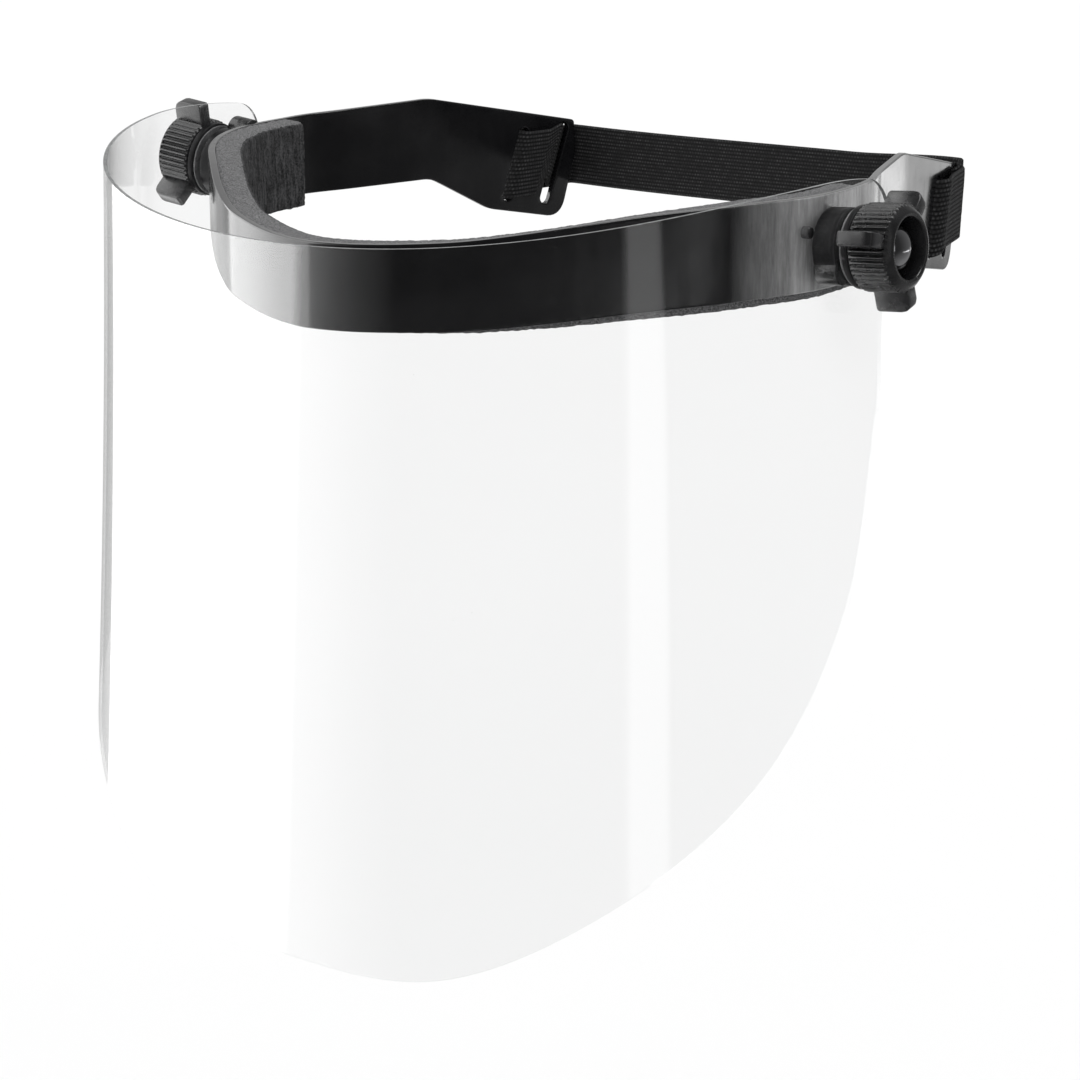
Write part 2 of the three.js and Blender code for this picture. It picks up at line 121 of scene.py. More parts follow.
class Surface(NodeTree):
    """A Principled material whose patterns are in object coordinates, in metres."""

    def __init__(self, name, color, roughness, metallic=0.0, **sockets):
        super().__init__(name)
        self.shader = self.nodes["Principled BSDF"]
        self.shader.inputs["Base Color"].default_value = (*color, 1)
        self.shader.inputs["Roughness"].default_value = roughness
        self.shader.inputs["Metallic"].default_value = metallic
        for socket, value in sockets.items():
            self.shader.inputs[socket.replace("_", " ")].default_value = value
        self.places = self.nodes.new("ShaderNodeTexCoord").outputs
        self.coords = self.places["Object"]
        self.normal = None

    def stretched(self, scale):
        mapping = self.nodes.new("ShaderNodeMapping")
        mapping.inputs["Scale"].default_value = scale
        self.links.new(self.coords, mapping.inputs["Vector"])
        return mapping.outputs["Vector"]

    def noise(self, scale, detail=3.0, rough=0.55, vector=None):
        node = self.nodes.new("ShaderNodeTexNoise")
        node.inputs["Scale"].default_value = scale
        node.inputs["Detail"].default_value = detail
        node.inputs["Roughness"].default_value = rough
        self.links.new(vector or self.coords, node.inputs["Vector"])
        return node.outputs["Fac"]

    def cells(self, scale):
        node = self.nodes.new("ShaderNodeTexVoronoi")
        node.inputs["Scale"].default_value = scale
        self.links.new(self.coords, node.inputs["Vector"])
        return node.outputs["Distance"]

    def remap(self, value, low, high, to_low, to_high):
        node = self.nodes.new("ShaderNodeMapRange")
        limits = {"From Min": low, "From Max": high, "To Min": to_low, "To Max": to_high}
        for name, number in limits.items():
            node.inputs[name].default_value = number
        self.links.new(value, node.inputs["Value"])
        return node.outputs["Result"]

    def mix(self, factor, a, b):
        node = self.nodes.new("ShaderNodeMix")
        node.data_type = "RGBA"
        for index, value in ((6, a), (7, b)):
            if isinstance(value, tuple):
                node.inputs[index].default_value = (*value, 1)
            else:
                self.links.new(value, node.inputs[index])
        self.links.new(factor, node.inputs[0])
        return node.outputs[2]

    def color(self, value):
        self.links.new(value, self.shader.inputs["Base Color"])

    def rough(self, value):
        self.links.new(value, self.shader.inputs["Roughness"])

    def bump(self, height, strength, distance):
        node = self.nodes.new("ShaderNodeBump")
        node.inputs["Strength"].default_value = strength
        node.inputs["Distance"].default_value = distance
        self.links.new(height, node.inputs["Height"])
        if self.normal is not None:
            self.links.new(self.normal, node.inputs["Normal"])
        self.normal = node.outputs["Normal"]
        self.links.new(self.normal, self.shader.inputs["Normal"])

    def blend(self, factor, a, b):
        node = self.nodes.new("ShaderNodeMixShader")
        for slot, value in enumerate((factor, a, b)):
            self.links.new(value, node.inputs[slot])
        return node.outputs["Shader"]


# share of light the sheet mirrors when seen square on
SHEET_MIRROR = 0.0505


def thin_clear(name, edge):
    """Clear polycarbonate as a thin sheet: what is behind shows through, with its gloss over it."""
    s = Surface(name, (0.24, 0.25, 0.25) if edge else (0.5, 0.52, 0.52), 0.3, IOR=1.58)
    clear = s.nodes.new("ShaderNodeBsdfTransparent")
    gloss = s.nodes.new("ShaderNodeBsdfGlossy")
    facing = s.nodes.new("ShaderNodeLayerWeight")
    facing.inputs["Blend"].default_value = 0.5
    schlick = s.math("POWER", facing.outputs["Facing"], 5.0)
    mirror = s.math("ADD", s.math("MULTIPLY", schlick, 1 - SHEET_MIRROR), SHEET_MIRROR)
    haze = s.remap(s.noise(14, 5), 0.42, 0.75, 0.01, 0.045)
    s.links.new(haze, gloss.inputs["Roughness"])
    specks = s.remap(s.cells(330), 0.03, 0.045, 1, 0)
    rare = s.remap(s.noise(55, 1), 0.66, 0.7, 0, 1)
    dust = s.math("MULTIPLY", specks, rare)
    tint = (0.12, 0.12, 0.12) if edge else (0.995, 0.996, 0.996)
    s.links.new(s.mix(dust, tint, (0.55, 0.56, 0.56)), clear.inputs["Color"])
    s.bump(s.noise(9, 1), 0.12, 0.0012)
    s.links.new(s.normal, gloss.inputs["Normal"])
    sheet = s.blend(mirror, clear.outputs["BSDF"], gloss.outputs["BSDF"])
    grey = s.remap(s.noise(500, 4), 0.35, 0.7, 0.25, 0.6) if edge else s.math("MULTIPLY", dust, 0.4)
    both = s.blend(grey, sheet, s.shader.outputs["BSDF"])
    s.links.new(both, s.nodes["Material Output"].inputs["Surface"])
    return s.material


def gloss_black():
    """Glossy plastic, painted lighter grey in streaks on its outer face round each clamp: some
    rubbing, mostly a painted reflection.
    """
    s = Surface("gloss_black_plastic", (0.004, 0.004, 0.0045), 0.12, IOR=1.55)
    x, y, _ = s.split(s.coords)
    facing = s.split(s.places["Normal"])[0]
    outer = s.remap(s.math("MULTIPLY", x, facing), 0.02, 0.06, 0, 1)
    before = s.remap(y, -0.029, -0.008, 0, 1)
    behind = s.remap(y, 0.02, 0.045, 1, 0)
    # painted reflection: the outer face round each clamp is painted lighter grey in streaks,
    # standing in for a reflection, with some rubbing
    rub_and_painted_reflection = s.math("MULTIPLY", outer, s.math("MULTIPLY", before, behind))
    strokes = s.remap(s.noise(30, 5, 0.75, s.stretched((9, 9, 1.1))), 0.3, 0.7, 0.35, 1)
    cloudy = s.remap(s.noise(38, 5), 0.4, 0.7, 0, 1)
    deep = s.mix(cloudy, (0.0035, 0.0035, 0.004), (0.008, 0.008, 0.0085))
    s.color(s.mix(s.math("MULTIPLY", rub_and_painted_reflection, strokes), deep, (0.34, 0.34, 0.342)))
    smudge = s.remap(s.noise(60, 6, 0.65), 0.35, 0.75, 0.09, 0.2)
    streak = s.remap(s.noise(26, 5, 0.7, s.stretched((9, 9, 1.2))), 0.5, 0.8, 0, 0.14)
    scuff = s.remap(s.noise(9, 4, 0.7, s.stretched((22, 22, 160))), 0.62, 0.75, 0, 0.12)
    s.rough(s.math("ADD", s.math("ADD", smudge, streak), scuff))
    s.bump(s.noise(24, 2), 0.2, 0.0006)
    return s.material


def moulded_black(name, specular, low, high):
    """Satin plastic, painted paler on its outer edges as edge wear and painted highlight; low and
    high bound its roughness.
    """
    s = Surface(name, (0.022, 0.022, 0.023), 0.4, IOR=1.5, Specular_IOR_Level=specular)
    cloudy = s.remap(s.noise(180, 5), 0.35, 0.7, 0, 1)
    tone = s.mix(cloudy, (0.006, 0.006, 0.0065), (0.014, 0.014, 0.0145))
    edges = s.nodes.new("ShaderNodeNewGeometry").outputs["Pointiness"]
    patchy = s.remap(s.noise(300, 4), 0.35, 0.6, 0.3, 1)
    # painted highlight: the outer edges are painted paler by pointiness, partly edge wear, mostly
    # standing in for the highlights on the ribs
    wear_and_highlight = s.math("MULTIPLY", s.remap(edges, 0.53, 0.6, 0, 1), patchy)
    s.color(s.mix(wear_and_highlight, tone, (0.085, 0.085, 0.087)))
    s.rough(s.remap(s.noise(260, 5, 0.6), 0.3, 0.75, low, high))
    s.bump(s.noise(2600, 3), 0.22, 0.00008)
    s.bump(s.noise(420, 3), 0.12, 0.0002)
    return s.material


def foam_cut():
    s = Surface("foam_cut_face", (0.2, 0.2, 0.205), 0.95, IOR=1.4)
    pores = s.cells(2400)
    speck = s.remap(pores, 0.12, 0.5, 1, 0)
    patches = s.noise(2100, 4, 0.75)
    tone = s.mix(s.remap(patches, 0.35, 0.68, 0, 1), (0.04, 0.04, 0.042), (0.21, 0.21, 0.213))
    s.color(s.mix(s.math("MULTIPLY", speck, 0.9), tone, (0.01, 0.01, 0.011)))
    s.bump(pores, 0.7, 0.0005)
    s.bump(patches, 0.5, 0.0005)
    return s.material


def foam_skin():
    s = Surface("foam_skin", (0.05, 0.05, 0.052), 0.9, IOR=1.4)
    grain = s.noise(9, 6, 0.7, s.stretched((95, 95, 16)))
    pores = s.cells(1700)
    fine = s.noise(1300, 3, 0.8)
    mottled = s.math("ADD", s.math("MULTIPLY", grain, 0.6), s.math("MULTIPLY", fine, 0.4))
    tone = s.mix(s.remap(mottled, 0.42, 0.6, 0, 1), (0.005, 0.005, 0.0055), (0.055, 0.055, 0.057))
    speck = s.remap(pores, 0.1, 0.45, 1, 0)
    s.color(s.mix(s.math("MULTIPLY", speck, 0.6), tone, (0.004, 0.004, 0.0042)))
    s.bump(grain, 0.65, 0.0009)
    s.bump(pores, 0.5, 0.0004)
    return s.material


def woven_elastic(ribs, stitch):
    """Rows of short stitches along the strap, with painted shade in the grooves and painted
    highlights on the stitch tops; the UV map holds metres along and across.
    """
    s = Surface("woven_elastic", (0.012, 0.012, 0.013), 0.8, IOR=1.4, Specular_IOR_Level=0.12,
                Sheen_Weight=0.03)
    along, across, _ = s.split(s.places["UV"])
    row = s.math("DIVIDE", across, ribs)
    away = s.math("ABSOLUTE", s.math("SUBTRACT", s.math("MULTIPLY", s.math("FRACT", row), 2), 1))
    ridge = s.math("SUBTRACT", 1, s.math("POWER", away, 2.2))
    shift = s.math("MULTIPLY", s.math("MODULO", s.math("FLOOR", row), 2), 0.5)
    step = s.math("FRACT", s.math("ADD", s.math("DIVIDE", along, stitch), shift))
    knot = s.math("SINE", s.math("MULTIPLY", step, math.pi))
    fuzz = s.noise(2600, 4, 0.7)
    wear_and_highlight = s.noise(420, 3, 0.6)
    height = s.math("MULTIPLY", ridge, s.math("ADD", s.math("MULTIPLY", knot, 0.42), 0.58))
    level = s.math("ADD", height, s.math("MULTIPLY", fuzz, 0.28))
    # painted highlight: the highest stitch tops are painted lighter, in patches
    glint = s.math("MULTIPLY", s.remap(level, 0.85, 1.15, 0, 1), s.remap(wear_and_highlight, 0.42, 0.62, 0.1, 1))
    # painted shade: the grooves between rows are painted darker than the row tops
    body = s.mix(s.remap(level, 0.2, 1.0, 0, 1), (0.0018, 0.0018, 0.002), (0.013, 0.013, 0.0135))
    s.color(s.mix(glint, body, (0.05, 0.05, 0.051)))
    s.rough(s.remap(fuzz, 0.3, 0.7, 0.65, 0.9))
    s.bump(level, 0.9, 0.00035)
    return s.material


def bright_metal(name, color, low, high):
    s = Surface(name, color, low, 1.0)
    s.rough(s.remap(s.noise(500, 5, 0.65), 0.3, 0.75, low, high))
    s.bump(s.noise(300, 3), 0.12, 0.0002)
    return s.material


def nylon_grey():
    s = Surface("washer_nylon", (0.1, 0.1, 0.1), 0.3, IOR=1.53)
    cloudy = s.remap(s.noise(300, 4), 0.35, 0.7, 0, 1)
    s.color(s.mix(cloudy, (0.07, 0.07, 0.072), (0.13, 0.13, 0.132)))
    s.rough(s.remap(s.noise(500, 4), 0.3, 0.7, 0.2, 0.36))
    s.bump(s.noise(900, 2), 0.1, 0.0001)
    return s.material


CLEAR = thin_clear("clear_polycarbonate", False)
CUT_EDGE = thin_clear("polycarbonate_cut_edge", True)
GLOSS = gloss_black()
SATIN = moulded_black("satin_black_plastic", 0.38, 0.18, 0.34)
DISC = moulded_black("spacer_black_plastic", 0.06, 0.25, 0.42)
FOAM_CUT = foam_cut()
FOAM_SKIN = foam_skin()
RIB_PITCH = 0.00118
STITCH_PITCH = 0.00105
ELASTIC = woven_elastic(RIB_PITCH, STITCH_PITCH)
CHROME = bright_metal("chrome", (0.34, 0.34, 0.35), 0.05, 0.13)
STEEL = bright_metal("plated_steel", (0.6, 0.61, 0.62), 0.2, 0.38)
NYLON = nylon_grey()

# ---- mesh helpers ----


def make_object(name, vertices, faces, materials, face_slots=None, scale=MM):
    mesh = bpy.data.meshes.new(name)
    mesh.from_pydata([tuple(Vector(v) * scale) for v in vertices], [], faces)
    for material in materials:
        mesh.materials.append(material)
    if face_slots:
        mesh.polygons.foreach_set("material_index", face_slots)
    mesh.update()
    obj = bpy.data.objects.new(name, mesh)
    bpy.context.scene.collection.objects.link(obj)
    return obj


def smooth(obj, degrees=40):
    """Shades faces smoothly across edges flatter than the angle, and makes normals face out."""
    bm = bmesh.new()
    bm.from_mesh(obj.data)
    bmesh.ops.recalc_face_normals(bm, faces=bm.faces)
    limit = math.radians(degrees)
    for face in bm.faces:
        face.smooth = True
    for edge in bm.edges:
        edge.smooth = not edge.is_manifold or edge.calc_face_angle(0) < limit
    bm.to_mesh(obj.data)
    bm.free()
    return obj


def apply_modifiers(obj):
    depsgraph = bpy.context.evaluated_depsgraph_get()
    mesh = bpy.data.meshes.new_from_object(obj.evaluated_get(depsgraph))
    obj.modifiers.clear()
    obj.data = mesh
    return obj


def pivot_matrix(sign):
    """The frame of one clamp stack: local Z runs outwards along the knob axis, in millimetres."""
    side = "left" if sign > 0 else "right"
    joint = JOINTS[f"knob_turn_{side}"]
    out = Vector(joint["axis"]).normalized()
    rear = Vector((0, 1, 0))
    up = out.cross(rear)
    matrix = Matrix((rear, up, out)).transposed().to_4x4()
    matrix.translation = Vector(joint["pos_m"]) / MM
    return matrix


PIVOTS = {sign: pivot_matrix(sign) for _, sign in SIDES}


def rounded(points, radius, steps=3):
    """A profile with each marked corner rounded; a point is (r, z) or (r, z, radius)."""
    out = []
    count = len(points)
    for i, point in enumerate(points):
        p = Vector(point[:2])
        r = point[2] if len(point) > 2 else radius
        if r <= 0 or i in (0, count - 1):
            out.append(p)
            continue
        a, b = Vector(points[i - 1][:2]) - p, Vector(points[i + 1][:2]) - p
        r = min(r, a.length * 0.45, b.length * 0.45)
        start, end = p + a.normalized() * r, p + b.normalized() * r
        for k in range(steps + 1):
            t = k / steps
            out.append(start * (1 - t) ** 2 + p * 2 * t * (1 - t) + end * t * t)
    return out


def lathe(name, profile, segments, matrix, materials, closed=True, shape=None, degrees=40):
    """Turns a profile round local Z. shape(angle, r, z) may change the radius."""
    vertices, faces = [], []
    n = len(profile)
    for k in range(segments):
        angle = 2 * math.pi * k / segments
        for r, z in profile:
            q = shape(angle, r, z) if shape else r
            vertices.append(matrix @ Vector((q * math.cos(angle), q * math.sin(angle), z)))
    for k in range(segments):
        m = (k + 1) % segments
        for i in range(n if closed else n - 1):
            j = (i + 1) % n
            faces.append((k * n + i, k * n + j, m * n + j, m * n + i))
    obj = make_object(name, vertices, faces, materials)
    bm = bmesh.new()
    bm.from_mesh(obj.data)
    bmesh.ops.remove_doubles(bm, verts=bm.verts, dist=1e-7)
    bmesh.ops.dissolve_degenerate(bm, edges=bm.edges, dist=1e-8)
    bm.to_mesh(obj.data)
    bm.free()
    return smooth(obj, degrees)


def finish_piece(obj, body, node):
    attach(obj, body)
    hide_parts(node)
    return obj


def hermite(start, end, leave, arrive, t):
    """Cubic from start to end with the slopes leave and arrive."""
    t2, t3 = t * t, t * t * t
    middle = start * (2 * t3 - 3 * t2 + 1) + leave * (t3 - 2 * t2 + t)
    return middle + end * (3 * t2 - 2 * t3) + arrive * (t3 - t2)


def uniform_catmull(points, per_span):
    out = []
    last = len(points) - 1
    for i in range(last):
        p = [points[max(min(i + k, last), 0)] for k in (-1, 0, 1, 2)]
        for k in range(per_span):
            t = k / per_span
            out.append(hermite(p[1], p[2], (p[2] - p[0]) * 0.5, (p[3] - p[1]) * 0.5, t))
    out.append(points[-1].copy())
    return out


def centripetal(points, t):
    """Centripetal Catmull-Rom through points, for t from 0 to 1."""
    last = len(points) - 1
    place = min(max(t, 0), 1) * last
    i = min(int(place), last - 1)
    w = place - i
    p1, p2 = points[i], points[i + 1]
    p0 = points[i - 1] if i > 0 else p1 * 2 - p2
    p3 = points[i + 2] if i + 2 <= last else p2 * 2 - p1
    spans = ((p0, p1), (p1, p2), (p2, p3))
    d0, d1, d2 = (max((b - a).length_squared ** 0.25, 1e-6) for a, b in spans)
    a = ((p1 - p0) / d0 - (p2 - p0) / (d0 + d1) + (p2 - p1) / d1) * d1
    b = ((p2 - p1) / d1 - (p3 - p1) / (d1 + d2) + (p3 - p2) / d2) * d1
    return hermite(p1, p2, a, b, w)


def smoothstep(x, low, high):
    t = min(max((x - low) / (high - low), 0), 1)
    return t * t * (3 - 2 * t)


# ---- visor ----

VISOR_HALF = 198
VISOR_CURVE = [Vector(p) for p in ((0, -111.7), (82.7, -111.7), (121.9, -54.9), (112.6, 15.8))]
# outline below the hinge line: radius every 15 degrees from the side to the bottom
VISOR_RADII = [198.5, 184.2, 186.3, 190.9, 194.4, 199.8, 196.7]
VISOR_TOP, VISOR_TOP_RISE, VISOR_TOP_FALL = 7.3, 39.4, -30.14
VISOR_CORNER = 9.5
FLARE_FRONT, FLARE_SIDE = -0.0115, 0.2415
FLARE_TOP, FLARE_EASE, FLARE_DEPTH = 20, 0.45, 40
# how far from the pivot the sheet lies flat in the clamp, and where it runs free
CLAMPED_R, FREE_R = 12, 42
VISOR_COLUMNS = 420
VISOR_ROWS = 110
CROWDING = 0.45
ROW_CROWDING = 0.03
BEZIER_STEPS = 3000
# the sheet's two faces along the knob axis, from the band's mid-plane
SHEET_SPAN = (10.1, 11.1)
CANT = math.asin(JOINTS["knob_turn_left"]["axis"][2])
PIVOT_X = JOINTS["knob_turn_left"]["pos_m"][0] / MM


def bezier(t):
    p0, p1, p2, p3 = VISOR_CURVE
    u = 1 - t
    point = p0 * u ** 3 + p1 * 3 * u * u * t + p2 * 3 * u * t * t + p3 * t ** 3
    slope = (p1 - p0) * 3 * u * u + (p2 - p1) * 6 * u * t + (p3 - p2) * 3 * t * t
    return point, slope.normalized()


BEZIER = [bezier(k / BEZIER_STEPS) for k in range(BEZIER_STEPS + 1)]
BEZIER_LENGTH = [0.0]
for (a, _), (b, _) in zip(BEZIER, BEZIER[1:]):
    BEZIER_LENGTH.append(BEZIER_LENGTH[-1] + (b - a).length)
BEZIER_LENGTH = np.array(BEZIER_LENGTH)


def visor_point(s, h, offset):
    """Where the sheet is at run s from its middle and height h, offset along its outward normal."""
    run = abs(s)
    total = BEZIER_LENGTH[-1]
    at = float(np.interp(min(run, total), BEZIER_LENGTH, np.arange(BEZIER_STEPS + 1)))
    base, tangent = bezier(at / BEZIER_STEPS)
    base = base + tangent * max(run - total, 0)
    normal = Vector((tangent.y, -tangent.x))
    flare = FLARE_FRONT + FLARE_SIDE * (run / VISOR_HALF) ** 2
    drop = FLARE_TOP - h
    ease = FLARE_EASE * FLARE_DEPTH * (1 - math.exp(-drop / FLARE_DEPTH))
    base = base + normal * (flare * (drop - ease) + offset)
    x = base.x
    if run > total / 2:
        middle = sum(SHEET_SPAN) / 2 + offset
        clamped = PIVOT_X + (middle - h * math.sin(CANT)) / math.cos(CANT)
        free = smoothstep(math.hypot(base.y, h), CLAMPED_R, FREE_R)
        x = clamped + (x - clamped) * free
    return Vector((math.copysign(1, s) * x, base.y, h))


def visor_top(s):
    a = abs(s) / VISOR_HALF
    into = max(abs(s) - (VISOR_RADII[0] - VISOR_CORNER), 0)
    arc = VISOR_CORNER - math.sqrt(max(VISOR_CORNER ** 2 - into ** 2, 0))
    return VISOR_TOP + VISOR_TOP_RISE * a ** 2 + VISOR_TOP_FALL * a ** 4 - arc


def build_visor():
    radii = VISOR_RADII + VISOR_RADII[-2::-1]
    turns = [i * math.pi / 12 for i in range(len(radii))]
    outline = [Vector((r * math.cos(a), -r * math.sin(a))) for a, r in zip(turns, radii)]
    rows = VISOR_ROWS + 1
    half = (SHEET_SPAN[1] - SHEET_SPAN[0]) / 2
    faces = []
    grids = []
    for offset in (half, -half):
        grid = []
        for i in range(VISOR_COLUMNS + 1):
            even = i / VISOR_COLUMNS
            crowded = (1 - math.cos(even * math.pi)) / 2
            low = centripetal(outline, CROWDING * crowded + (1 - CROWDING) * even)
            high = visor_top(low.x)
            for j in range(rows):
                t = j / VISOR_ROWS
                t -= ROW_CROWDING * math.sin(2 * math.pi * t)
                grid.append(visor_point(low.x, low.y + (high - low.y) * t, offset))
        grids.append(grid)
    vertices = grids[0] + grids[1]
    size = len(grids[0])

    def at(layer, i, j):
        return layer * size + i * rows + j

    for i in range(VISOR_COLUMNS):
        for j in range(VISOR_ROWS):
            faces.append((at(0, i, j), at(0, i, j + 1), at(0, i + 1, j + 1), at(0, i + 1, j)))
            faces.append((at(1, i, j), at(1, i + 1, j), at(1, i + 1, j + 1), at(1, i, j + 1)))
    sheet_faces = len(faces)
    end, top = VISOR_COLUMNS, VISOR_ROWS
    for i in range(VISOR_COLUMNS):
        faces.append((at(0, i, 0), at(0, i + 1, 0), at(1, i + 1, 0), at(1, i, 0)))
        faces.append((at(0, i, top), at(1, i, top), at(1, i + 1, top), at(0, i + 1, top)))
    for j in range(VISOR_ROWS):
        faces.append((at(0, 0, j), at(1, 0, j), at(1, 0, j + 1), at(0, 0, j + 1)))
        faces.append((at(0, end, j), at(0, end, j + 1), at(1, end, j + 1), at(1, end, j)))
    slots = [0] * sheet_faces + [0, 1] * VISOR_COLUMNS + [0] * (2 * VISOR_ROWS)
    obj = smooth(make_object("visor_sheet", vertices, faces, [CLEAR, CUT_EDGE], slots), 30)
    obj.visible_shadow = False
    obj.visible_diffuse = False
    return finish_piece(obj, "visor", "visor")


build_visor()

# ---- headband ----

BAND_PLAN = [
    (0, -95), (35, -82), (54, -68), (76, -47), (93, -28), (102.6, -9),
    (105.1, 3), (104, 25), (98, 42), (88.3, 70.8),
]
TAIL_END = Vector((72.9, 134))
BAND_THICK = 2.2
GAP = 0.3
SLOT_W = 4.8
SLOT_SLANT = 0.35
SLOT_HIGH = 1.2
SLOT_MID_Z = -12.5
SLOTS = ((105, -23.4), (121.8, -26.2))
FRONT_SLOT_Y = SLOTS[0][0]
REAR_SLOT_Y = SLOTS[1][0]
# height of the side arms on the wearer's left and right
LEFT_TOP, RIGHT_TOP = 14.2, 13.0
PLAN_STEPS, TAIL_STEPS = 1200, 40
CORNER_EASE = 7

plan_points = [Vector((-x, y)) for x, y in BAND_PLAN[:0:-1]] + [Vector(p) for p in BAND_PLAN]
PLAN = [centripetal(plan_points, 0.5 + 0.5 * k / PLAN_STEPS) for k in range(PLAN_STEPS + 1)]
tail_from = PLAN[-1]
for k in range(1, TAIL_STEPS + 1):
    PLAN.append(tail_from.lerp(TAIL_END, k / TAIL_STEPS))
PLAN_U = [0.0]
for a, b in zip(PLAN, PLAN[1:]):
    PLAN_U.append(PLAN_U[-1] + (b - a).length)
PLAN_U = np.array(PLAN_U)


def eased(values):
    """The plan with the corner between the curve and the straight tail rounded over."""
    width = np.clip(CORNER_EASE - np.abs(PLAN_U - PLAN_U[PLAN_STEPS]) * 0.5, 0, None)
    before = np.interp(PLAN_U - width, PLAN_U, values)
    after = np.interp(PLAN_U + width, PLAN_U, values)
    return (before + 2 * values + after) / 4


PLAN_X = eased(np.array([p.x for p in PLAN]))
PLAN_Y = eased(np.array([p.y for p in PLAN]))


def plan_frame(u):
    """Point of the band's outer face at run u from the front, and its inward normal."""
    run = abs(u)
    x, y = float(np.interp(run, PLAN_U, PLAN_X)), float(np.interp(run, PLAN_U, PLAN_Y))
    step = 0.8
    low, high = max(run - step, -step), min(run + step, PLAN_U[-1])
    x0 = float(np.interp(abs(low), PLAN_U, PLAN_X)) * (1 if low >= 0 else -1)
    y0 = float(np.interp(abs(low), PLAN_U, PLAN_Y))
    x1, y1 = float(np.interp(high, PLAN_U, PLAN_X)), float(np.interp(high, PLAN_U, PLAN_Y))
    tangent = Vector((x1 - x0, y1 - y0)).normalized()
    normal = Vector((-tangent.y, tangent.x))
    if u < 0:
        return Vector((-x, y)), Vector((-normal.x, normal.y))
    return Vector((x, y)), normal


def run_at(y):
    return float(np.interp(y, PLAN_Y, PLAN_U))


def cubic(p0, p1, p2, p3, steps):
    p0, p1, p2, p3 = (Vector(p) for p in (p0, p1, p2, p3))
    out = []
    for k in range(1, steps + 1):
        t = k / steps
        u = 1 - t
        out.append(p0 * u ** 3 + p1 * 3 * u * u * t + p2 * 3 * u * t * t + p3 * t ** 3)
    return out


def straight(a, b, step=2.0):
    a, b = Vector(a), Vector(b)
    count = max(int((b - a).length / step), 1)
    return [a.lerp(b, k / count) for k in range(1, count + 1)]


def arc3(a, b, c, steps=6):
    a, b, c = Vector(a), Vector(b), Vector(c)
    times = [k / steps for k in range(1, steps + 1)]
    return [a * (1 - t) ** 2 + b * 2 * t * (1 - t) + c * t * t for t in times]


def band_outline(top):
    """One half of the side view, (y, z), from the top of the front round the tail to the bottom."""
    line = [Vector((-95, 4.5))]
    line += cubic((-95, 4.5), (-70, 5.5), (-52, top), (-16, top), 26)
    line += straight((-16, top), (18, top))
    line += straight((18, top), (68, 14.2))
    line += arc3((68, 14.2), (71.2, 14.2), (74, 13.5), 4)
    line += straight((74, 13.5), (129.2, 1.45))
    line += arc3((129.2, 1.45), (130.3, 1.2), (130.4, 0.1))
    line += straight((130.4, 0.1), (130.9, -9.5))
    line += straight((130.9, -9.5), (126.4, -25.2))
    line += arc3((126.4, -25.2), (124.6, -31.0), (119.0, -30.1), 8)
    line += straight((119.0, -30.1), (97, -25.3))
    line += arc3((97, -25.3), (94.6, -24.8), (92.4, -23.6), 4)
    line += straight((92.4, -23.6), (73.5, -13.3))
    line += arc3((73.5, -13.3), (71, -11.9), (68, -11.9), 4)
    line += straight((68, -11.9), (-12, -11.9))
    line += cubic((-12, -11.9), (-48, -11.9), (-70, -18.4), (-95, -19.2), 26)
    return line


def slot_outline(middle, low):
    """A slanting slot in the tail, (y, z), less the rounding of its edges."""
    r = SLOT_W / 2 - 0.45
    tilt = math.atan(SLOT_SLANT)
    out = []
    for z, start in ((SLOT_HIGH - SLOT_W / 2, -tilt), (low + SLOT_W / 2, math.pi - tilt)):
        y = middle + SLOT_SLANT * (z - SLOT_MID_Z)
        for k in range(9):
            angle = start + math.pi * k / 8
            out.append(Vector((y + r * math.cos(angle), z + r * math.sin(angle))))
    return out


